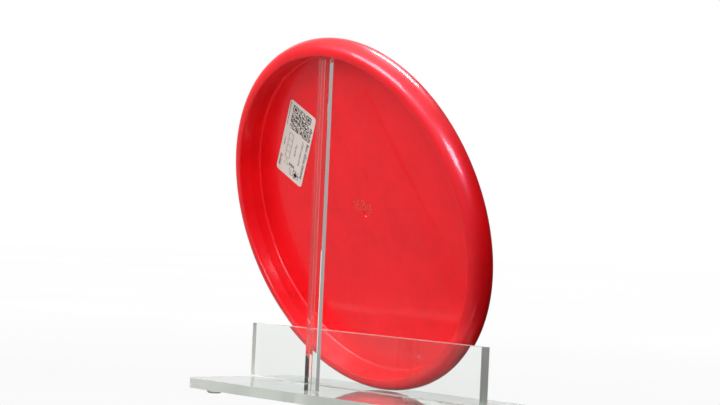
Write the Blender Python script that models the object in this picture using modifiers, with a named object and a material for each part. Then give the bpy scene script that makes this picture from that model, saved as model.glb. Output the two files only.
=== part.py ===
"""A disc golf disc that leans on a clear acrylic display stand.

Frame: metres, +Z up.  The origin is on the ground under the middle of the stand.  The post and the
open underside of the disc face -Y; the disc leans its top edge towards -Y.
Names: "disc axes" are the disc's own, with the origin in the middle of its lip circle, +Z through
the plate to its top side and +Y towards the edge that stands on the base.
"""

from math import asin, cos, pi, radians, sin

import bmesh
import bpy
from mathutils import Matrix, Vector

SEAT_GAP = 0.0003            # left between pieces that touch
LEAN = radians(18.4)         # between the disc and the vertical

# Disc
DISC_RADIUS = 0.106
NOSE_HEIGHT = 0.0083         # widest point of the rim above the lip
SHOULDER_RADIUS = 0.092      # where the rounded shoulder meets the top
SHOULDER_HEIGHT = 0.0173
SHOULDER_POWER = 2.7         # 2 is an ellipse, more is squarer
TRACK_RADIUS = 0.080         # the plate is a little lower inside this circle
PLATE_TOP = 0.0166
PLATE_THICKNESS = 0.0019
LIP_INNER_RADIUS = 0.0973
LIP_FLAT = 0.0012
LIP_ROUND = 0.0006
WALL_TOP_RADIUS = 0.0961
WALL_HEIGHT = 0.0134         # the wall is straight this far up, then turns into the underside
GATE_RADIUS = 0.0024         # moulding gate in the middle of the underside
GATE_DEPTH = 0.0005
DISC_STEPS = 96

# Price label
LABEL_LENGTH = 0.051
LABEL_WIDTH = 0.0235
LABEL_THICKNESS = 0.0002
LABEL_CORNER = 0.0022
LABEL_CENTRE = (-0.0516, -0.0420)     # in disc axes
LABEL_TURN = radians(124)            # long side, from disc +X

# Stand
SHEET = 0.006                # base and panel stock
POST_SIDE = 0.00635          # quarter-inch square rod
EDGE_BEVEL = 0.0003
POST_Y = -0.0208             # centre of the post, from the middle of the lip circle
PANEL_Y = 0.0169             # centre of the panel, from the middle of the lip circle
PANEL_TOP = -0.0658          # from the middle of the lip circle
STAND_WIDTH = 0.206
BASE_DEPTH = 0.092
BASE_CENTRE_Y = 0.010        # from the middle of the lip circle
BASE_CORNER = 0.008
TAB_LENGTH = 0.030
TAB_SPACING = 0.110
FOOT_RADIUS = 0.005
FOOT_FACE_RADIUS = 0.0028
FOOT_HEIGHT = 0.0025
FOOT_INSET = 0.013

BASE_BOTTOM = FOOT_HEIGHT + SEAT_GAP
BASE_TOP = BASE_BOTTOM + SHEET
SLOT_MARGIN = SEAT_GAP       # clearance round a tab in its slot


def arc(centre, radius, start, end, steps):
    """Points of a circular arc, angles in degrees."""
    angles = [radians(start + (end - start) * i / steps) for i in range(steps + 1)]
    return [(centre[0] + radius * cos(a), centre[1] + radius * sin(a)) for a in angles]


def superellipse(corner, reach, power, start, end, steps):
    """A quarter-round about corner with half axes reach, between two angles in degrees."""
    points = []
    for i in range(steps + 1):
        angle = radians(start + (end - start) * i / steps)
        x = abs(cos(angle)) ** (2 / power) * reach[0]
        z = abs(sin(angle)) ** (2 / power) * reach[1]
        points.append((corner[0] + x, corner[1] + (z if sin(angle) > 0 else -z)))
    return points


def disc_profile():
    """Half cross-section (radius, height above the lip), from the top centre to the underside's."""
    underside = PLATE_TOP - PLATE_THICKNESS
    top = [(0.0, PLATE_TOP), (TRACK_RADIUS, PLATE_TOP)]
    top += [(TRACK_RADIUS + (SHOULDER_RADIUS - TRACK_RADIUS) * t,
             PLATE_TOP + (SHOULDER_HEIGHT - PLATE_TOP) * (1 - cos(pi * t)) / 2) for t in (0.33, 0.67)]
    shoulder = superellipse(
        (SHOULDER_RADIUS, NOSE_HEIGHT),
        (DISC_RADIUS - SHOULDER_RADIUS, SHOULDER_HEIGHT - NOSE_HEIGHT),
        SHOULDER_POWER, 90, 0, 10)
    lip_outer = LIP_INNER_RADIUS + LIP_ROUND + LIP_FLAT
    belly = superellipse(
        (lip_outer, NOSE_HEIGHT), (DISC_RADIUS - lip_outer, NOSE_HEIGHT), 2.0, 0, -90, 8)
    lip = arc((LIP_INNER_RADIUS + LIP_ROUND, LIP_ROUND), LIP_ROUND, 270, 180, 3)
    turn = underside - WALL_HEIGHT
    fillet = arc((WALL_TOP_RADIUS - turn, WALL_HEIGHT), turn, 0, 90, 5)
    gate = [(GATE_RADIUS, underside), (GATE_RADIUS * 0.8, underside + GATE_DEPTH),
            (0.0, underside + GATE_DEPTH)]
    return top + shoulder + belly[1:] + lip + fillet + gate


def disc_point(x, y, z):
    """A point in disc axes, turned by the lean but with its origin still in the lip circle."""
    return Matrix.Rotation(LEAN - pi / 2, 3, "X") @ Vector((x, y, z))


LOWEST_POINT = min(disc_point(0, r, z).z for r, z in disc_profile())
LIP_CENTRE = Vector((0.0, -BASE_CENTRE_Y, BASE_TOP + SEAT_GAP - LOWEST_POINT))


def clear_scene():
    for obj in list(bpy.data.objects):
        bpy.data.objects.remove(obj, do_unlink=True)


def make_collection(name):
    collection = bpy.data.collections.new(name)
    bpy.context.scene.collection.children.link(collection)
    return collection


def make_material(name, colour, roughness, transmission=0.0):
    material = bpy.data.materials.new(name)
    material.use_nodes = True
    shader = material.node_tree.nodes["Principled BSDF"]
    shader.inputs["Base Color"].default_value = (*colour, 1.0)
    shader.inputs["Roughness"].default_value = roughness
    shader.inputs["Metallic"].default_value = 0.0
    shader.inputs["Transmission Weight"].default_value = transmission
    material.diffuse_color = (*colour, 1.0)
    return material


def mesh_object(name, bm, collection, material=None):
    mesh = bpy.data.meshes.new(name)
    bm.to_mesh(mesh)
    bm.free()
    obj = bpy.data.objects.new(name, mesh)
    collection.objects.link(obj)
    if material:
        mesh.materials.append(material)
    return obj


def box(name, size, centre, collection, material=None):
    bm = bmesh.new()
    bmesh.ops.create_cube(bm, size=1.0)
    bmesh.ops.scale(bm, vec=size, verts=bm.verts)
    obj = mesh_object(name, bm, collection, material)
    obj.location = centre
    return obj


def turned(name, profile, steps, collection, material):
    """A body of revolution about its own Z, from a profile that runs down its outer side."""
    bm = bmesh.new()
    verts = [bm.verts.new((r, 0.0, z)) for r, z in profile]
    for a, b in zip(verts, verts[1:]):
        bm.edges.new((a, b))
    obj = mesh_object(name, bm, collection, material)
    screw = obj.modifiers.new("turn", "SCREW")
    screw.steps = steps
    screw.render_steps = steps
    screw.use_merge_vertices = True
    screw.merge_threshold = 0.00001
    screw.use_smooth_shade = True
    return obj


def add_bevel(obj, width, segments=1):
    bevel = obj.modifiers.new("edges", "BEVEL")
    bevel.width = width
    bevel.segments = segments
    bevel.limit_method = "ANGLE"
    bevel.angle_limit = radians(40)


def add_boolean(obj, other, operation):
    boolean = obj.modifiers.new(other.name, "BOOLEAN")
    boolean.operation = operation
    boolean.solver = "EXACT"
    boolean.object = other
    other.hide_render = True
    other.display_type = "WIRE"


def rounded_sheet(name, length, width, thickness, corner, collection, material):
    """A flat sheet with round corners, its middle at the object's origin."""
    curve = bpy.data.curves.new(name, "CURVE")
    curve.dimensions = "2D"
    curve.fill_mode = "BOTH"
    curve.extrude = thickness / 2
    outline = []
    for sx, sy, start in ((1, 1, 0), (-1, 1, 90), (-1, -1, 180), (1, -1, 270)):
        centre = (sx * (length / 2 - corner), sy * (width / 2 - corner))
        outline += arc(centre, corner, start, start + 90, 5)
    spline = curve.splines.new("POLY")
    spline.points.add(len(outline) - 1)
    for point, (x, y) in zip(spline.points, outline):
        point.co = (x, y, 0.0, 1.0)
    spline.use_cyclic_u = True
    source = bpy.data.objects.new(name + "_outline", curve)
    collection.objects.link(source)
    evaluated = source.evaluated_get(bpy.context.evaluated_depsgraph_get())
    mesh = bpy.data.meshes.new_from_object(evaluated)
    bpy.data.objects.remove(source, do_unlink=True)
    bm = bmesh.new()
    bm.from_mesh(mesh)
    bpy.data.meshes.remove(mesh)
    bmesh.ops.remove_doubles(bm, verts=bm.verts, dist=0.000001)
    return mesh_object(name, bm, collection, material)


def make_disc(parts, carriage):
    red = make_material("red_plastic", (0.80, 0.02, 0.03), 0.25)
    disc = turned("disc", disc_profile(), DISC_STEPS, parts, red)
    disc.parent = carriage
    disc.rotation_euler = (LEAN - pi / 2, 0.0, 0.0)
    return disc


def make_label(parts, disc):
    paper = make_material("label_paper", (0.62, 0.58, 0.54), 0.5)
    label = rounded_sheet(
        "price_label", LABEL_LENGTH, LABEL_WIDTH, LABEL_THICKNESS, LABEL_CORNER, parts, paper)
    label.parent = disc
    height = PLATE_TOP - PLATE_THICKNESS - SEAT_GAP - LABEL_THICKNESS / 2
    label.location = (*LABEL_CENTRE, height)
    label.rotation_euler = (0.0, 0.0, LABEL_TURN)
    return label


def post_tip_height():
    """Height of the post's tip over the lip circle's middle: its near edge just clears the wall."""
    near_y = POST_Y - POST_SIDE / 2
    taper = (LIP_INNER_RADIUS - WALL_TOP_RADIUS) / WALL_HEIGHT
    half_width_drop = LIP_INNER_RADIUS * (1 - cos(asin(POST_SIDE / 2 / LIP_INNER_RADIUS)))
    reach = LIP_INNER_RADIUS - half_width_drop - 1.5 * SEAT_GAP
    reach += near_y * (sin(LEAN) - taper * cos(LEAN))
    return reach / (cos(LEAN) + taper * sin(LEAN))


def make_post(parts, clear):
    tip = LIP_CENTRE.z + post_tip_height()
    foot = BASE_BOTTOM + SEAT_GAP
    size = (POST_SIDE, POST_SIDE, tip - foot)
    centre = (0.0, LIP_CENTRE.y + POST_Y, (tip + foot) / 2)
    post = box("post", size, centre, parts, clear)
    add_bevel(post, EDGE_BEVEL)
    return post


def make_panel(parts, cutters, clear):
    bottom = BASE_TOP + SEAT_GAP
    top = LIP_CENTRE.z + PANEL_TOP
    y = LIP_CENTRE.y + PANEL_Y
    panel = box("rest_panel", (STAND_WIDTH, SHEET, top - bottom), (0.0, y, (top + bottom) / 2),
                parts, clear)
    tab_bottom = BASE_BOTTOM + SEAT_GAP
    tab_top = bottom + SHEET
    for side in (-1, 1):
        size = (TAB_LENGTH, SHEET - 0.0001, tab_top - tab_bottom)
        centre = (side * TAB_SPACING / 2, y, (tab_top + tab_bottom) / 2)
        tab = box(f"panel_tab_{side:+d}", size, centre, cutters)
        add_boolean(panel, tab, "UNION")
    add_bevel(panel, EDGE_BEVEL)
    return panel


def make_base(parts, cutters, clear):
    base = rounded_sheet(
        "base_plate", STAND_WIDTH, BASE_DEPTH, SHEET, BASE_CORNER, parts, clear)
    base.location = (0.0, 0.0, (BASE_BOTTOM + BASE_TOP) / 2)
    depth = SHEET * 3
    side_of_hole = POST_SIDE + 2 * SLOT_MARGIN
    hole = box("post_hole", (side_of_hole, side_of_hole, depth),
               (0.0, LIP_CENTRE.y + POST_Y, base.location.z), cutters)
    add_boolean(base, hole, "DIFFERENCE")
    for side in (-1, 1):
        size = (TAB_LENGTH + 2 * SLOT_MARGIN, SHEET + 2 * SLOT_MARGIN, depth)
        centre = (side * TAB_SPACING / 2, LIP_CENTRE.y + PANEL_Y, base.location.z)
        slot = box(f"panel_slot_{side:+d}", size, centre, cutters)
        add_boolean(base, slot, "DIFFERENCE")
    return base


def make_feet(parts):
    soft = make_material("bumper", (0.78, 0.80, 0.80), 0.35, transmission=0.8)
    drop = FOOT_RADIUS - FOOT_FACE_RADIUS
    profile = [(0.0, FOOT_HEIGHT), (FOOT_RADIUS, FOOT_HEIGHT)]
    profile += [(FOOT_FACE_RADIUS + drop * cos(radians(a)), FOOT_HEIGHT * (1 - sin(radians(a))))
                for a in (22, 45, 68)]
    profile += [(FOOT_FACE_RADIUS, 0.0), (0.0, 0.0)]
    for x_side, x_name in ((-1, "left"), (1, "right")):
        for y_side, y_name in ((-1, "front"), (1, "rear")):
            foot = turned(f"foot_{y_name}_{x_name}", profile, 24, parts, soft)
            foot.location = (x_side * (STAND_WIDTH / 2 - FOOT_INSET),
                             y_side * (BASE_DEPTH / 2 - FOOT_INSET), 0.0)


def main():
    clear_scene()
    parts = make_collection("disc_on_display_stand")
    cutters = make_collection("cutters")
    carriage = bpy.data.objects.new("disc_seat", None)
    carriage.location = LIP_CENTRE
    parts.objects.link(carriage)
    disc = make_disc(parts, carriage)
    make_label(parts, disc)
    clear = make_material("clear_acrylic", (0.90, 0.93, 0.92), 0.05, transmission=0.95)
    make_post(parts, clear)
    make_panel(parts, cutters, clear)
    make_base(parts, cutters, clear)
    make_feet(parts)
    print("lip centre", [round(v, 5) for v in LIP_CENTRE])


main()
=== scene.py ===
"""Looks of a golf disc on its clear acrylic display stand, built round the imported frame.

"Disc axes" are the disc's own: the origin is the middle of its lip circle, +Z runs through the plate
to its top side and +Y points at the edge that stands on the base.  The disc and what is on it are
modelled there and placed by disc_axes().  Metres throughout.
"""
import random
from math import cos, pi, radians, sin

import bmesh
import bpy
from mathutils import Matrix, Vector


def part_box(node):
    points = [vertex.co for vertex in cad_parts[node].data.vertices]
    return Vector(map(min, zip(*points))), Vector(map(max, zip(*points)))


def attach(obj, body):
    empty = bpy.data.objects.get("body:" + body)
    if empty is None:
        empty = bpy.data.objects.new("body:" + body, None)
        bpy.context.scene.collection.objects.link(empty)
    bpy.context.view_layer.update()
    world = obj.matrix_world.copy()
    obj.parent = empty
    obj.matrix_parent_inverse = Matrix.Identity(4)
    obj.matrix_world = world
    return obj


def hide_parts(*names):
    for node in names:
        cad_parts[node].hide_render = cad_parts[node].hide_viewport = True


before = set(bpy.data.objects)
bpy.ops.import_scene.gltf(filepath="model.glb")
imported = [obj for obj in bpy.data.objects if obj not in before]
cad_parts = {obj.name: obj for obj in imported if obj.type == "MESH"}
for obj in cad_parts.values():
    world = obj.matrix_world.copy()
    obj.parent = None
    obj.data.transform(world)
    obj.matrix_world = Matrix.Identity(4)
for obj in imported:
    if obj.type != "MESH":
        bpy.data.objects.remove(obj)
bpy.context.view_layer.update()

# Disc, as in the CAD
LEAN = radians(18.4)
DISC_TILT = LEAN - pi / 2        # about X, from lying lip down
DISC_RADIUS = 0.106
NOSE_HEIGHT = 0.0083             # widest point of the rim above the lip
SHOULDER_RADIUS = 0.092          # where the rounded shoulder meets the top
SHOULDER_HEIGHT = 0.0173
SHOULDER_POWER = 2.7             # 2 is an ellipse, more is squarer
WING_STEEP = (0.1054, 0.0036)    # control points of the curve from the nose down to the lip
WING_FLAT = (0.1036, 0.0)
TRACK_RADIUS = 0.080             # the plate is a little lower inside this circle
PLATE_TOP = 0.0166
PLATE_THICKNESS = 0.0019
UNDERSIDE = PLATE_TOP - PLATE_THICKNESS
LIP_INNER_RADIUS = 0.0973
LIP_FLAT = 0.0012
LIP_ROUND = 0.0006
WALL_TOP_RADIUS = 0.0961
WALL_HEIGHT = 0.0134             # the wall is straight this far up, then turns into the underside
GATE_RADIUS = 0.0024             # moulding gate in the middle of the underside
GATE_DEPTH = 0.0005

# Finer than the CAD
RIDGE_HEIGHT = 0.0074            # of a soft ridge along the wall, above the lip
RIDGE_REACH = 0.00025            # how far it stands out of the wall
RIDGE_SPREAD = 0.0007            # from its crest to either flank
RIDGE_FLANK = 0.70               # share of the reach that is left there
TRACK_STEPS = 12
DISC_STEPS = 288
SHARP_EDGE = radians(32)         # creases steeper than this aren't smoothed
CREASE_GUARD = 0.0004            # rings this close to a crease keep its shading narrow

# Label and weight mark, in disc axes
MARK_CENTRE = (-0.0022, -0.0050)
MARK_HEIGHT = 0.0060
MARK_STROKE = 0.00040
LABEL_LENGTH = 0.051
LABEL_WIDTH = 0.0235
LABEL_CORNER = 0.0022
LABEL_CENTRE = (-0.0516, -0.0420)
LABEL_TURN = radians(124)        # long side, from disc +X
PAPER_THICKNESS = 0.00014
PRINT_THICKNESS = 0.00002
CONTACT = 0.00003                # between a thin layer and what it lies on

# The label's print, from the label's middle: +X along it, +Y to its top edge
CODE_CENTRE = (-0.0151, 0.0)
CODE_SIZE = 0.0163
CODE_MODULES = 25
MODULE_FILL = 0.98               # of a module's height is ink, so neighbouring rows stay apart
TARGET_MODULES = 7               # across each of the code's three corner targets
PRINT_LINES = (                  # left and right end, baseline, letter height, stroke
    (-0.0168, 0.0205, 0.0086, 0.0025, 0.00062),
    (-0.0042, 0.0143, 0.0049, 0.0016, 0.00028),
    (0.0006, 0.0099, 0.0004, 0.0015, 0.00026),
    (-0.0235, -0.0080, -0.0109, 0.0010, 0.00017),
    (0.0016, 0.0068, -0.0098, 0.0011, 0.00020),
    (0.0140, 0.0226, -0.0106, 0.0019, 0.00052),
)
TABLE_LEFT, TABLE_RIGHT = -0.0040, 0.0134
TABLE_LOW, TABLE_HIGH = -0.0066, -0.0030
TABLE_COLUMNS = 4
TABLE_LINE = 0.00020
PRINT_SEED = 5
LETTER_WIDTH = 0.46              # these three are shares of the letter height
LETTER_GAP = 0.14
WORD_GAP = 0.42
BADGE_CENTRE = (0.0207, 0.0050)

# Stand
ACRYLIC_TINT = (0.20, 0.31, 0.12, 1.0)
ACRYLIC_DENSITY = 8.0            # per metre
BASE_BEVEL = 0.0003
FOOT_FACE = 0.56                 # the flat face's share of a foot's radius
FOOT_CHAMFER = 0.0002
DISH_MARGIN = 0.0003             # from the face's edge to its hollow
DISH_DEPTHS = (0.0001, 0.00015)  # at the hollow's edge and in its middle
FOOT_STEPS = 48
PAD_INSET = 0.0004               # from a foot's edge to its adhesive pad's

# Camera, from the middle of the lip circle
VIEW_AZIMUTH = radians(50.28)
VIEW_ELEVATION = radians(0.08)
VIEW_ROLL = radians(2.56)
VIEW_DISTANCE = 1.270
SENSOR_WIDTH = 36.0              # millimetres
FOCAL_LENGTH = 109.9             # millimetres
PAN_RIGHT = radians(0.333)       # the object stands left of the middle of the view
PAN_UP = radians(0.469)          # and below it

# Studio
FLOOR_SIZE = 8.0
FLOOR_SHADE_AND_WHITE = (0.96, 1.0)        # emission where the floor is seen, beside the object and far from it: the lower value beside it is painted shade
FLOOR_SHADE_FADE = (0.25, 0.95)        # between these distances from the object, where the painted shade fades out
ROOM_DARK = 0.01                 # the dim room that reflections and light see, and its lighter sides
ROOM_LOBES = (                   # direction from the disc, brightness, sharpness
    ((0.02, -0.75, 0.66), 1.15, 3.0),
    ((0.60, -0.75, -0.25), 0.38, 3.0),
    ((0.00, 0.00, 1.00), 0.95, 3.0),
    ((-0.70, -0.45, -0.55), 0.27, 3.0),
    ((-0.90, -0.42, 0.10), 0.14, 3.0),
    ((-0.82, 0.56, 0.08), 0.90, 9.0),
)


# ------------------------------------------------------------------------------------ shapes

def oval(centre, half_width, half_height, start=0.0, end=360.0, steps=32):
    """Points of an ellipse or of a stretch of it, angles in degrees."""
    angles = [radians(start + (end - start) * i / steps) for i in range(steps + 1)]
    return [(centre[0] + half_width * cos(a), centre[1] + half_height * sin(a)) for a in angles]


def arc(centre, radius, start, end, steps):
    """Points of a circular arc, angles in degrees."""
    return oval(centre, radius, radius, start, end, steps)


def circle(centre, radius, steps):
    """Points all round a circle, the first one not repeated."""
    return arc(centre, radius, 0, 360, steps)[:-1]


def superellipse(corner, reach, power, start, end, steps):
    """A quarter-round about corner with half axes reach, between two angles in degrees."""
    points = []
    for i in range(steps + 1):
        angle = radians(start + (end - start) * i / steps)
        x = abs(cos(angle)) ** (2 / power) * reach[0]
        z = abs(sin(angle)) ** (2 / power) * reach[1]
        points.append((corner[0] + x, corner[1] + (z if sin(angle) > 0 else -z)))
    return points


def bezier(p0, p1, p2, p3, steps):
    """Points of a cubic Bezier curve."""
    points = []
    for i in range(steps + 1):
        t = i / steps
        weights = ((1 - t) ** 3, 3 * t * (1 - t) ** 2, 3 * t * t * (1 - t), t ** 3)
        points.append(tuple(sum(w * p[k] for w, p in zip(weights, (p0, p1, p2, p3))) for k in (0, 1)))
    return points


def disc_profile():
    """Half cross-section (radius, height above the lip), from the top centre to the underside's."""
    track, rise = SHOULDER_RADIUS - TRACK_RADIUS, SHOULDER_HEIGHT - PLATE_TOP
    top = [(r, PLATE_TOP) for r in (0.0, 0.02, 0.05, TRACK_RADIUS)]
    top += [(TRACK_RADIUS + track * i / TRACK_STEPS,
             PLATE_TOP + rise * (1 - cos(pi * i / TRACK_STEPS)) / 2)
            for i in range(1, TRACK_STEPS)]
    shoulder = superellipse(
        (SHOULDER_RADIUS, NOSE_HEIGHT),
        (DISC_RADIUS - SHOULDER_RADIUS, SHOULDER_HEIGHT - NOSE_HEIGHT),
        SHOULDER_POWER, 90, 0, 36)
    lip_outer = LIP_INNER_RADIUS + LIP_ROUND + LIP_FLAT
    belly = bezier((DISC_RADIUS, NOSE_HEIGHT), WING_STEEP, WING_FLAT, (lip_outer, 0.0), 30)
    lip = arc((LIP_INNER_RADIUS + LIP_ROUND, LIP_ROUND), LIP_ROUND, 270, 180, 8)
    wall_slope = (LIP_INNER_RADIUS - WALL_TOP_RADIUS) / WALL_HEIGHT
    flank = RIDGE_REACH * RIDGE_FLANK
    wall = [(LIP_INNER_RADIUS - wall_slope * height - out, height)
            for height, out in (
                (LIP_ROUND * 1.5, 0.0), (LIP_ROUND * 2.2, 0.0), (RIDGE_HEIGHT - RIDGE_SPREAD, flank),
                (RIDGE_HEIGHT, RIDGE_REACH), (RIDGE_HEIGHT + RIDGE_SPREAD, flank),
                (WALL_HEIGHT - CREASE_GUARD, 0.0))]
    turn = UNDERSIDE - WALL_HEIGHT
    fillet = arc((WALL_TOP_RADIUS - turn, WALL_HEIGHT), turn, 0, 90, 14)
    plate = [(r, UNDERSIDE) for r in (WALL_TOP_RADIUS - turn - CREASE_GUARD, 0.085, 0.070, 0.045, 0.020,
                                      GATE_RADIUS + CREASE_GUARD)]
    gate_round = GATE_DEPTH * 0.3
    gate = arc((GATE_RADIUS, UNDERSIDE + gate_round), gate_round, 270, 200, 4)
    gate += [(GATE_RADIUS * reach, UNDERSIDE + GATE_DEPTH * depth)
             for reach, depth in ((0.82, 0.8), (0.70, 1.0), (0.15, 1.0), (0.0, 1.0))]
    return top + shoulder + belly[1:] + lip + wall + fillet + plate + gate


def disc_axes():
    """Disc axes to the row frame, found from the CAD disc's box."""
    turn = Matrix.Rotation(DISC_TILT, 3, "X")
    profile = disc_profile()
    lowest = min((turn @ Vector((0, r, z))).z for r, z in profile)
    nearest = min((turn @ Vector((0, -r, z))).y for r, z in profile)
    low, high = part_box("disc")
    centre = Vector(((low.x + high.x) / 2, low.y - nearest, low.z - lowest))
    return Matrix.Translation(centre) @ turn.to_4x4()


DISC_AXES = disc_axes()
LIP_CENTRE = DISC_AXES.translation


def link_mesh(name, bm, material, matrix=None):
    """A new object from bm, linked to the scene, with its creases left sharp."""
    bmesh.ops.recalc_face_normals(bm, faces=bm.faces)
    for face in bm.faces:
        face.smooth = True
    for edge in bm.edges:
        edge.smooth = edge.is_manifold and edge.calc_face_angle(0.0) < SHARP_EDGE
    mesh = bpy.data.meshes.new(name)
    bm.to_mesh(mesh)
    bm.free()
    mesh.materials.append(material)
    obj = bpy.data.objects.new(name, mesh)
    if matrix is not None:
        obj.matrix_world = matrix
    bpy.context.scene.collection.objects.link(obj)
    return obj


def lathe(bm, profile, steps):
    """Turns a profile that starts and ends on the axis into a closed body about Z."""
    rings = []
    for k in range(steps):
        a = 2 * pi * k / steps
        rings.append([bm.verts.new((r * cos(a), r * sin(a), z)) for r, z in profile[1:-1]])
    start = bm.verts.new((0.0, 0.0, profile[0][1]))
    end = bm.verts.new((0.0, 0.0, profile[-1][1]))
    for k in range(steps):
        this, following = rings[k], rings[(k + 1) % steps]
        bm.faces.new((start, this[0], following[0]))
        for i in range(len(this) - 1):
            bm.faces.new((this[i], this[i + 1], following[i + 1], following[i]))
        bm.faces.new((end, following[-1], this[-1]))


def prism(bm, outline, low, high):
    """A closed straight-sided body over a convex outline of (x, y) points."""
    bottom = [bm.verts.new((x, y, low)) for x, y in outline]
    top = [bm.verts.new((x, y, high)) for x, y in outline]
    bm.faces.new(bottom[::-1])
    bm.faces.new(top)
    count = len(outline)
    for i in range(count):
        j = (i + 1) % count
        bm.faces.new((bottom[i], bottom[j], top[j], top[i]))


def rounded_outline(length, width, corner, steps=8):
    """Points round a rectangle with rounded corners."""
    outline = []
    for sx, sy, start in ((1, 1, 0), (-1, 1, 90), (-1, -1, 180), (1, -1, 270)):
        centre = (sx * (length / 2 - corner), sy * (width / 2 - corner))
        outline += arc(centre, corner, start, start + 90, steps)
    return outline


# --------------------------------------------------------------------------------- materials

class Tree:
    """A node tree, with short ways to add and join its nodes."""

    def __init__(self, owner):
        owner.use_nodes = True
        self.nodes = owner.node_tree.nodes
        self.links = owner.node_tree.links

    def put(self, socket, value):
        """Links an output, or sets a plain value."""
        if isinstance(value, bpy.types.NodeSocket):
            self.links.new(value, socket)
        else:
            socket.default_value = value

    def math(self, operation, *values):
        node = self.nodes.new("ShaderNodeMath")
        node.operation = operation
        for socket, value in zip(node.inputs, values):
            self.put(socket, value)
        return node.outputs[0]

    def vector(self, operation, *values):
        node = self.nodes.new("ShaderNodeVectorMath")
        node.operation = operation
        for socket, value in zip(node.inputs, values):
            self.put(socket, value)
        return node.outputs["Value" if operation in ("LENGTH", "DOT_PRODUCT") else "Vector"]

    def between(self, factor, one, other):
        """A number: one where factor is 0, other where it is 1."""
        node = self.nodes.new("ShaderNodeMix")
        for key, value in (("Factor", factor), ("A", one), ("B", other)):
            self.put(node.inputs[key], value)
        return node.outputs[0]


class Material(Tree):
    """A Principled material whose textures lie in the object's own axes, or in axes tilted about X."""

    def __init__(self, name, tilt=0.0):
        self.material = bpy.data.materials.new(name)
        super().__init__(self.material)
        self.shader = self.nodes["Principled BSDF"]
        self.position = self.nodes.new("ShaderNodeTexCoord").outputs["Object"]
        if tilt:
            level = self.nodes.new("ShaderNodeVectorRotate")
            level.rotation_type = "X_AXIS"
            level.inputs["Angle"].default_value = -tilt
            self.put(level.inputs["Vector"], self.position)
            self.position = level.outputs["Vector"]

    def set(self, **inputs):
        """Sets the shader's inputs, named with underscores for spaces."""
        for key, value in inputs.items():
            self.put(self.shader.inputs[key.replace("_", " ")], value)

    def noise(self, scale, detail=2.0, rough=0.5, distortion=0.0, vector=None):
        """A cloudy value, mostly between 0.3 and 0.7."""
        node = self.nodes.new("ShaderNodeTexNoise")
        self.put(node.inputs["Vector"], vector or self.position)
        node.inputs["Scale"].default_value = scale
        node.inputs["Detail"].default_value = detail
        node.inputs["Roughness"].default_value = rough
        node.inputs["Distortion"].default_value = distortion
        return node.outputs["Fac"]

    def remap(self, value, low, high, to_low=0.0, to_high=1.0):
        """Stretches low..high to to_low..to_high, and stops at its ends."""
        node = self.nodes.new("ShaderNodeMapRange")
        node.clamp = True
        for socket, number in zip(node.inputs, (value, low, high, to_low, to_high)):
            self.put(socket, number)
        return node.outputs[0]

    def mix(self, factor, one, other):
        """A colour: one where factor is 0, other where it is 1."""
        node = self.nodes.new("ShaderNodeMix")
        node.data_type = "RGBA"
        self.put(node.inputs["Factor"], factor)
        for name, value in (("A", one), ("B", other)):
            socket = [s for s in node.inputs if s.name == name and s.type == "RGBA"][0]
            self.put(socket, value if isinstance(value, bpy.types.NodeSocket) else (*value, 1.0))
        return [s for s in node.outputs if s.type == "RGBA"][0]

    def bump(self, height, strength, distance, normal=None):
        """A normal that follows height, on top of another normal."""
        node = self.nodes.new("ShaderNodeBump")
        node.inputs["Strength"].default_value = strength
        node.inputs["Distance"].default_value = distance
        self.put(node.inputs["Height"], height)
        if normal is not None:
            self.put(node.inputs["Normal"], normal)
        return node.outputs["Normal"]

    def scratches(self, scale, stretch, turn, width):
        """Thin lines, 1 on a scratch and 0 beside it: the middle lines of a stretched noise."""
        mapping = self.nodes.new("ShaderNodeMapping")
        mapping.inputs["Rotation"].default_value = turn
        mapping.inputs["Scale"].default_value = stretch
        self.put(mapping.inputs["Vector"], self.position)
        value = self.noise(scale, 1.0, 0.4, 0.3, mapping.outputs[0])
        distance = self.math("ABSOLUTE", self.math("SUBTRACT", value, 0.5))
        return self.remap(distance, 0.0, width, 1.0, 0.0)


def disc_plastic():
    """Glossy, slightly pearly injection-moulded plastic, with flow marks and light wear."""
    m = Material("disc_plastic", DISC_TILT)
    flat = m.vector("MULTIPLY", m.position, (1.0, 1.0, 0.0))
    radius = m.vector("LENGTH", flat)
    spokes = m.vector("NORMALIZE", flat)
    flow = m.noise(5.0, 3.0, 0.55, 0.6, spokes)
    mottle = m.noise(26.0, 3.0, 0.5, 0.8)
    fine = m.noise(210.0, 2.0, 0.5)
    blotch = m.remap(m.math("ADD", m.math("MULTIPLY", mottle, 0.75), m.math("MULTIPLY", flow, 0.25)),
                     0.36, 0.62)
    colour = m.mix(blotch, (0.78, 0.002, 0.004), (0.91, 0.004, 0.007))
    pearl = m.remap(fine, 0.30, 0.75, 0.0, 0.35)
    colour = m.mix(pearl, colour, (0.95, 0.008, 0.014))
    scuffs = m.remap(m.noise(75.0, 4.0, 0.7), 0.52, 0.66)
    edge_wear = m.math("MULTIPLY", m.remap(radius, 0.100, 0.1055), scuffs)
    hairlines = m.scratches(30.0, (1.0, 7.0, 1.0), (0.3, 0.2, 0.7), 0.0012)
    rough = m.math("ADD", m.remap(mottle, 0.3, 0.7, 0.27, 0.34), m.math("MULTIPLY", edge_wear, 0.10))
    rough = m.math("ADD", rough, m.math("MULTIPLY", hairlines, 0.06))
    waves = m.bump(m.noise(17.0, 1.0, 0.4, 0.5), 0.06, 0.004)
    peel = m.bump(m.noise(900.0, 1.0), 0.02, 0.0002, waves)
    m.set(Base_Color=colour, Roughness=rough, Normal=peel, IOR=1.45, Specular_IOR_Level=0.90,
          Specular_Tint=(1.0, 0.38, 0.60, 1.0), Coat_Weight=0.50, Coat_Roughness=0.05, Coat_IOR=1.45,
          Subsurface_Weight=0.6, Subsurface_Scale=0.006, Subsurface_Radius=(1.0, 0.12, 0.10))
    return m.material


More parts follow.
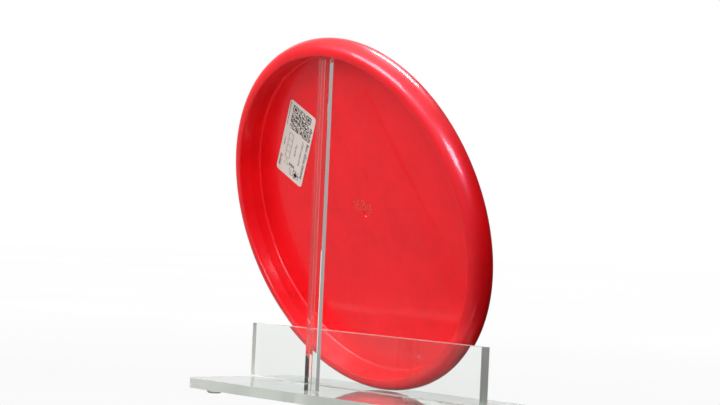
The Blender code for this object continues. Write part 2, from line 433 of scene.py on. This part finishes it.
def label_paper():
    """White paper sticker with a satin face, fibres and a little hand dirt."""
    m = Material("label_paper")
    fibres = m.noise(1500.0, 3.0, 0.6, 1.0)
    dirt = m.noise(90.0, 4.0, 0.6)
    colour = m.mix(m.remap(dirt, 0.40, 0.70, 0.0, 0.35), (0.84, 0.765, 0.71), (0.78, 0.69, 0.64))
    rough = m.remap(fibres, 0.3, 0.7, 0.38, 0.52)
    normal = m.bump(fibres, 0.10, 0.00003, m.bump(m.noise(60.0), 0.10, 0.0004))
    m.set(Base_Color=colour, Roughness=rough, Normal=normal, IOR=1.46)
    return m.material


def label_ink():
    """Thermal-print black, slightly broken."""
    m = Material("label_ink")
    broken = m.remap(m.noise(2600.0, 2.0), 0.50, 0.74, 0.0, 0.4)
    colour = m.mix(broken, (0.004, 0.003, 0.004), (0.08, 0.065, 0.06))
    m.set(Base_Color=colour, Roughness=m.remap(broken, 0.0, 0.4, 0.50, 0.65), IOR=1.40)
    return m.material


def weight_ink():
    """Pale marker ink, thin enough that the red shows through."""
    m = Material("weight_ink")
    thin = m.remap(m.noise(700.0, 3.0, 0.6), 0.35, 0.70)
    colour = m.mix(thin, (0.86, 0.16, 0.085), (0.80, 0.050, 0.040))
    m.set(Base_Color=colour, Roughness=m.remap(thin, 0.0, 1.0, 0.45, 0.25), IOR=1.45)
    return m.material


def clear_acrylic(name, polished):
    """Clear acrylic with polished faces along some axes, and satin sawn ones along the others."""
    m = Material(name)
    facing = m.nodes.new("ShaderNodeNewGeometry").outputs["True Normal"]
    along = m.vector("LENGTH", m.vector("MULTIPLY", facing, polished))
    sawn = m.remap(along, 0.75, 0.65)
    hairlines = m.math(
        "MAXIMUM",
        m.scratches(55.0, (1.0, 1.0, 9.0), (0.0, 0.15, 0.1), 0.0022),
        m.scratches(48.0, (9.0, 1.0, 1.0), (0.2, 0.1, 0.4), 0.0018))
    smudge = m.remap(m.noise(32.0, 4.0, 0.6, 0.5), 0.55, 0.78)
    saw_lines = m.noise(420.0, 2.0, 0.6, 0.0, m.vector("MULTIPLY", m.position, (1.0, 1.0, 0.15)))
    rough = m.math("ADD", m.math("MULTIPLY", hairlines, 0.03), m.math("MULTIPLY", smudge, 0.008))
    rough = m.math("ADD", rough, m.math("MULTIPLY", sawn, m.remap(saw_lines, 0.3, 0.7, 0.28, 0.50)))
    normal = m.bump(m.noise(38.0, 1.0, 0.4), 0.012, 0.004)
    normal = m.bump(hairlines, 0.02, -0.00005, normal)
    normal = m.bump(m.math("MULTIPLY", saw_lines, sawn), 0.15, 0.0001, normal)
    colour = m.mix(smudge, (0.965, 0.985, 0.972), (0.945, 0.965, 0.952))
    colour = m.mix(sawn, colour, (0.80, 0.83, 0.79))
    clear = m.remap(sawn, 0.0, 1.0, 1.0, 0.45)
    m.set(Base_Color=colour, Roughness=rough, Normal=normal, IOR=1.49, Transmission_Weight=clear)
    depth = m.nodes.new("ShaderNodeVolumeAbsorption")
    depth.inputs["Color"].default_value = ACRYLIC_TINT
    depth.inputs["Density"].default_value = ACRYLIC_DENSITY
    m.links.new(depth.outputs["Volume"], m.nodes["Material Output"].inputs["Volume"])
    return m.material


def bumper():
    """Clear soft urethane, faintly yellowed, that holds fine dust."""
    m = Material("bumper")
    dust = m.remap(m.noise(1400.0, 3.0, 0.6), 0.56, 0.72)
    colour = m.mix(dust, (0.90, 0.91, 0.86), (0.70, 0.70, 0.67))
    m.set(Base_Color=colour, Roughness=m.remap(dust, 0.0, 1.0, 0.12, 0.40),
          Normal=m.bump(m.noise(300.0), 0.05, 0.0003), IOR=1.48, Transmission_Weight=0.85)
    return m.material


def adhesive():
    """Milky double-sided tape."""
    m = Material("adhesive")
    mottled = m.noise(500.0, 3.0, 0.6)
    m.set(Base_Color=m.mix(mottled, (0.78, 0.78, 0.74), (0.88, 0.88, 0.85)),
          Roughness=m.remap(mottled, 0.3, 0.7, 0.35, 0.55), IOR=1.47, Transmission_Weight=0.3,
          Normal=m.bump(mottled, 0.1, 0.0001))
    return m.material


# ------------------------------------------------------------------------------------ pieces

def make_disc():
    """The disc, turned as one body."""
    bm = bmesh.new()
    lathe(bm, disc_profile(), DISC_STEPS)
    bm.transform(Matrix.Rotation(DISC_TILT, 4, "X"))    # tilted in the mesh, so its box stays tight
    disc = link_mesh("disc_shell", bm, disc_plastic(), Matrix.Translation(LIP_CENTRE))
    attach(disc, "disc")
    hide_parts("disc")


def underside_axes(centre, turn):
    """Axes of something on the plate: +X reads along it, +Y is its top edge, +Z faces the viewer."""
    reading = Vector((cos(turn), sin(turn), 0.0))
    facing = Vector((0.0, 0.0, -1.0))
    upward = facing.cross(reading)
    place = Matrix((reading, upward, facing)).transposed().to_4x4()
    place.translation = (*centre, UNDERSIDE - CONTACT)
    return DISC_AXES @ place


def block(bm, x, y, width, height, base):
    """A rectangle of ink."""
    corners = ((x, y), (x + width, y), (x + width, y + height), (x, y + height))
    prism(bm, corners, base, base + PRINT_THICKNESS)


def stroke(bm, points, width, base=0.0, closed=False):
    """A thin line of ink along points: a flat closed ribbon of even width."""
    count = len(points)
    sides = []
    for i, point in enumerate(points):
        before = points[i - 1] if closed or i > 0 else point
        after = points[(i + 1) % count] if closed or i < count - 1 else point
        along = (Vector(after) - Vector(before)).normalized() * (width / 2)
        x, y = point
        sides.append(((x - along.y, y + along.x), (x + along.y, y - along.x)))
    rows = [[bm.verts.new((*place, height)) for place, height in
             ((left, base), (right, base), (right, base + PRINT_THICKNESS), (left, base + PRINT_THICKNESS))]
            for left, right in sides]
    for i in range(count if closed else count - 1):
        this, following = rows[i], rows[(i + 1) % count]
        for k in range(4):
            bm.faces.new((this[k], this[(k + 1) % 4], following[(k + 1) % 4], following[k]))
    if not closed:
        bm.faces.new(rows[0][::-1])
        bm.faces.new(rows[-1])


def print_matrix_code(bm, base, draw):
    """A square of made-up modules with three corner targets: it only looks like a code."""
    count, target = CODE_MODULES, TARGET_MODULES
    module = CODE_SIZE / count
    left, top = CODE_CENTRE[0] - CODE_SIZE / 2, CODE_CENTRE[1] + CODE_SIZE / 2

    def module_row(row, start, length):
        x, y = left + start * module, top - (row + 1) * module
        block(bm, x, y, length * module, module * MODULE_FILL, base)

    corners = ((0, 0), (0, count - target), (count - target, 0))

    def near_target(row, column):
        return any(r - 1 <= row <= r + target and c - 1 <= column <= c + target for r, c in corners)

    for r, c in corners:
        for row in range(target):
            if row in (0, target - 1):
                module_row(r + row, c, target)
                continue
            module_row(r + row, c, 1)
            module_row(r + row, c + target - 1, 1)
            if 2 <= row < target - 2:
                module_row(r + row, c + 2, target - 4)
    for row in range(count):
        run = 0
        for column in range(count + 1):
            dark = column < count and not near_target(row, column) and draw.random() < 0.5
            if dark:
                run += 1
            elif run:
                module_row(row, column - run, run)
                run = 0


def print_words(bm, left, right, baseline, height, weight, base, draw):
    """A line of wordlike marks without letters: stems and short bars of differing height."""
    x = left
    while x < right:
        for _ in range(draw.randint(3, 8)):
            tall = height * draw.choice((1.0, 0.68, 0.68, 0.68, 0.9))
            width = height * LETTER_WIDTH
            if x + width > right:
                break
            block(bm, x, baseline, weight, tall, base)
            bar = baseline + (0.0 if draw.random() < 0.5 else tall - weight)
            block(bm, x + weight, bar, width - weight * 1.6, weight, base)
            if draw.random() < 0.45:
                block(bm, x + width - weight * 1.2, baseline + tall * 0.25, weight, tall * 0.5, base)
            x += width + height * LETTER_GAP
        x += height * WORD_GAP


def print_table(bm, base):
    """A row of empty boxes."""
    width = TABLE_RIGHT - TABLE_LEFT
    for y in (TABLE_LOW, TABLE_HIGH):
        block(bm, TABLE_LEFT, y, width, TABLE_LINE, base)
    for i in range(TABLE_COLUMNS + 1):
        block(bm, TABLE_LEFT + width * i / TABLE_COLUMNS, TABLE_LOW + TABLE_LINE,
              TABLE_LINE, TABLE_HIGH - TABLE_LOW - TABLE_LINE, base)


def print_ornament(bm, base):
    """A made-up badge at the label's end: a peak, a few bars and a spotted blob."""
    stroke(bm, [(0.0138, -0.0046), (0.0182, -0.0062), (0.0182, -0.0030)], 0.00026, base, closed=True)
    for k, length in enumerate((0.0022, 0.0013, 0.0024, 0.0017, 0.0021)):
        block(bm, 0.0160 - length * 0.25, -0.0019 + k * 0.00098, length, 0.00056, base)
    x, y = BADGE_CENTRE
    prism(bm, circle(BADGE_CENTRE, 0.0015, 24), base, base + PRINT_THICKNESS)
    for k, angle in enumerate(range(20, 380, 40)):
        reach = 0.0024 + 0.0004 * (k % 2)
        spot = (x + reach * cos(radians(angle)), y + reach * sin(radians(angle)))
        prism(bm, circle(spot, 0.00038 + 0.00012 * (k % 3), 12), base, base + PRINT_THICKNESS)
    stroke(bm, [(0.0190, -0.0012), (0.0205, 0.0004), (0.0222, 0.0002), (0.0230, 0.0016)], 0.0004, base)


def make_label():
    """The paper sticker on the underside and, just above it, its print."""
    axes = underside_axes(LABEL_CENTRE, LABEL_TURN)
    bm = bmesh.new()
    prism(bm, rounded_outline(LABEL_LENGTH, LABEL_WIDTH, LABEL_CORNER), 0.0, PAPER_THICKNESS)
    paper = link_mesh("label_paper", bm, label_paper(), axes)
    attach(paper, "disc")
    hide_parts("price_label")

    draw = random.Random(PRINT_SEED)
    base = PAPER_THICKNESS + CONTACT
    bm = bmesh.new()
    print_matrix_code(bm, base, draw)
    for line in PRINT_LINES:
        print_words(bm, *line, base, draw)
    print_table(bm, base)
    print_ornament(bm, base)
    ink = link_mesh("label_print", bm, label_ink(), axes)
    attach(ink, "disc")


def make_weight_mark():
    """The disc's weight in grams, in thin pale ink over the gate."""
    bm = bmesh.new()
    low, high = -MARK_HEIGHT / 2, MARK_HEIGHT / 2
    loops = (                    # middle, half width and half height
        ((-0.0028, low + 0.0018), 0.0014, 0.0018),
        ((0.0016, low + 0.0016), 0.0015, 0.0016),
        ((0.0016, low + 0.00468), 0.0013, 0.0012),
        ((0.0057, low + 0.0016), 0.0013, 0.0016),
    )
    lines = (
        [(-0.0073, high - 0.0012), (-0.0062, high), (-0.0062, low)],
        arc((-0.0010, low + 0.0024), 0.0036, 176.0, 102.0, 12),
        [(0.00745, low + 0.0032), (0.00745, low - 0.0002)]
        + oval((0.0060, low - 0.0004), 0.00145, 0.0013, -8.0, -140.0, 10),
    )
    for loop in loops:
        stroke(bm, oval(*loop)[:-1], MARK_STROKE, closed=True)
    for line in lines:
        stroke(bm, line, MARK_STROKE)
    ink = link_mesh("weight_mark", bm, weight_ink(), underside_axes(MARK_CENTRE, 0.0))
    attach(ink, "disc")


def finish_stand():
    """Gives the CAD stand its materials and breaks the base's edges.

    Clear pieces throw no shadow: the soft light goes through.
    """
    polished = {"post": (1.0, 1.0, 0.0), "rest_panel": (0.0, 1.0, 0.0), "base_plate": (0.0, 0.0, 1.0)}
    for name, axes in polished.items():
        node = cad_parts[name]
        node.data.materials.clear()
        node.data.materials.append(clear_acrylic(f"acrylic_{name}", axes))
        node.visible_shadow = False
    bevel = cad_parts["base_plate"].modifiers.new("broken edges", "BEVEL")
    bevel.width = BASE_BEVEL
    bevel.segments = 2
    bevel.limit_method = "ANGLE"
    bevel.angle_limit = radians(60)


def foot_profile(low, high):
    """Half cross-section of a bumper foot: a pad on top, a domed side and a flat, dished face."""
    radius = (high.x - low.x) / 2
    face = radius * FOOT_FACE
    height = high.z - low.z
    side = [(face + (radius - face) * cos(radians(a)), height * (1 - sin(radians(a))))
            for a in range(0, 91, 9)]
    rim = [(radius - FOOT_CHAMFER, height), (radius, height - FOOT_CHAMFER)]
    dish = [(face - DISH_MARGIN, DISH_DEPTHS[0]), (0.0, DISH_DEPTHS[1])]
    return [(0.0, height)] + rim + side[1:] + dish


def make_feet():
    """Four bumpers, each with an adhesive pad that reaches up to the base."""
    rubber, tape = bumper(), adhesive()
    base_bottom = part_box("base_plate")[0].z
    for side in ("left", "right"):
        for end in ("front", "rear"):
            name = f"foot_{end}_{side}"
            low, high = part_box(name)
            middle = Matrix.Translation(((low.x + high.x) / 2, (low.y + high.y) / 2, low.z))
            bm = bmesh.new()
            lathe(bm, foot_profile(low, high), FOOT_STEPS)
            shell = link_mesh(f"bumper_{end}_{side}", bm, rubber, middle)
            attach(shell, "stand")
            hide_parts(name)
            bm = bmesh.new()
            outline = circle((0.0, 0.0), (high.x - low.x) / 2 - PAD_INSET, FOOT_STEPS)
            prism(bm, outline, high.z - low.z + CONTACT / 2, base_bottom - CONTACT / 2 - low.z)
            pad = link_mesh(f"pad_{end}_{side}", bm, tape, middle)
            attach(pad, "stand")


make_disc()
make_label()
make_weight_mark()
make_feet()
finish_stand()


# --------------------------------------------------------------------------- camera and light

def make_camera():
    """Stands off the lip circle, rolls, then pans: the object is left of the middle and below it."""
    back = Vector((sin(VIEW_AZIMUTH) * cos(VIEW_ELEVATION),
                   -cos(VIEW_AZIMUTH) * cos(VIEW_ELEVATION), sin(VIEW_ELEVATION)))
    level_right = Vector((cos(VIEW_AZIMUTH), sin(VIEW_AZIMUTH), 0.0))
    level_up = back.cross(level_right)
    right = cos(VIEW_ROLL) * level_right + sin(VIEW_ROLL) * level_up
    up = cos(VIEW_ROLL) * level_up - sin(VIEW_ROLL) * level_right
    forward = (PAN_RIGHT * right + PAN_UP * up - back).normalized()
    right = (right - forward * right.dot(forward)).normalized()
    up = right.cross(forward)
    data = bpy.data.cameras.new("camera")
    data.sensor_width = SENSOR_WIDTH
    data.lens = FOCAL_LENGTH
    camera = bpy.data.objects.new("camera", data)
    turn = Matrix((right, up, -forward)).transposed().to_4x4()
    camera.matrix_world = Matrix.Translation(LIP_CENTRE + back * VIEW_DISTANCE) @ turn
    bpy.context.scene.collection.objects.link(camera)
    bpy.context.scene.camera = camera


def directly_seen(tree):
    """1 for what the camera sees, straight or through clear acrylic, and 0 for light and reflections."""
    path = tree.nodes.new("ShaderNodeLightPath").outputs
    bounces = tree.math("ADD", path["Glossy Depth"], path["Diffuse Depth"])
    through = tree.math("MULTIPLY", path["Is Transmission Ray"], tree.math("LESS_THAN", bounces, 0.5))
    return tree.math("MAXIMUM", path["Is Camera Ray"], through)


def room_brightness(tree, direction):
    """How bright the room is in a direction from the disc, whether that is wall or floor."""
    total = ROOM_DARK
    for toward, strength, sharpness in ROOM_LOBES:
        along = tree.vector("DOT_PRODUCT", direction, Vector(toward).normalized())
        lobe = tree.math("POWER", tree.math("MAXIMUM", along, 0.0), sharpness)
        total = tree.math("MULTIPLY_ADD", lobe, strength, total)
    return total


def make_floor():
    """A pale floor: white to look at, with painted shade beside the object, and part of the dim room in
    reflections.
    """
    bm = bmesh.new()
    half = FLOOR_SIZE / 2
    bm.faces.new([bm.verts.new((x, y, 0.0))
                  for x, y in ((-half, -half), (half, -half), (half, half), (-half, half))])
    m = Material("floor_pale")
    away = m.vector("SUBTRACT", m.position, LIP_CENTRE)
    distance = m.vector("LENGTH", m.vector("MULTIPLY", away, (1.0, 1.0, 0.0)))
    # painted shade: the floor is seen a little darker beside the object and whiter further off
    white = m.remap(distance, *FLOOR_SHADE_FADE, *FLOOR_SHADE_AND_WHITE)
    white = m.math("MULTIPLY", white, m.remap(m.noise(3.0, 3.0), 0.3, 0.7, 0.985, 1.0))
    room = room_brightness(m, m.vector("NORMALIZE", away))
    m.set(Base_Color=(0.0, 0.0, 0.0, 1.0), Roughness=0.9, Specular_IOR_Level=0.0,
          Emission_Color=(1.0, 1.0, 1.0, 1.0),
          Emission_Strength=m.between(directly_seen(m), room, white))
    link_mesh("floor", bm, m.material)


def make_world():
    """A white backdrop that reflections and light see as a dim room."""
    world = bpy.data.worlds.new("studio")
    bpy.context.scene.world = world
    tree = Tree(world)
    room = room_brightness(tree, tree.nodes.new("ShaderNodeTexCoord").outputs["Generated"])
    tree.put(tree.nodes["Background"].inputs["Color"], tree.between(directly_seen(tree), room, 1.0))


def softbox(name, toward, distance, size, power, lights=True, mirrored=True):
    """A soft lamp seen from the disc in the direction toward; it may only light, or only be mirrored."""
    data = bpy.data.lights.new(name, "AREA")
    data.shape = "RECTANGLE"
    data.size, data.size_y = size
    data.energy = power
    lamp = bpy.data.objects.new(name, data)
    toward = Vector(toward).normalized()
    turn = toward.to_track_quat("Z", "Y").to_matrix().to_4x4()
    lamp.matrix_world = Matrix.Translation(LIP_CENTRE + toward * distance) @ turn
    lamp.visible_diffuse = lights
    lamp.visible_glossy = mirrored
    lamp.visible_transmission = False
    lamp.visible_camera = False
    bpy.context.scene.collection.objects.link(lamp)


make_camera()
make_floor()
make_world()
softbox("key_right", (0.72, -0.50, 0.52), 0.9, (0.6, 0.6), 2.9, mirrored=False)
softbox("key_left", (-0.46, -0.62, 0.64), 0.55, (0.4, 0.4), 1.6, mirrored=False)
softbox("back_glow", (-0.50, 0.68, 0.60), 1.1, (0.7, 0.7), 15.0, mirrored=False)
softbox("ceiling_strip", (-0.10, 0.33, 0.93), 1.2, (0.60, 0.20), 13.0, lights=False)
softbox("side_window", (0.89, -0.29, 0.38), 1.2, (0.48, 0.33), 10.5, lights=False)
softbox("sheen_left", (-0.27, -0.75, 0.60), 1.4, (0.5, 0.5), 8.5, lights=False)
softbox("sheen_middle", (0.04, -0.74, 0.67), 1.4, (0.5, 0.5), 10.0, lights=False)
softbox("sheen_right", (0.39, -0.65, 0.65), 1.4, (0.5, 0.5), 1.2, lights=False)

bpy.context.scene.view_settings.view_transform = "Standard"
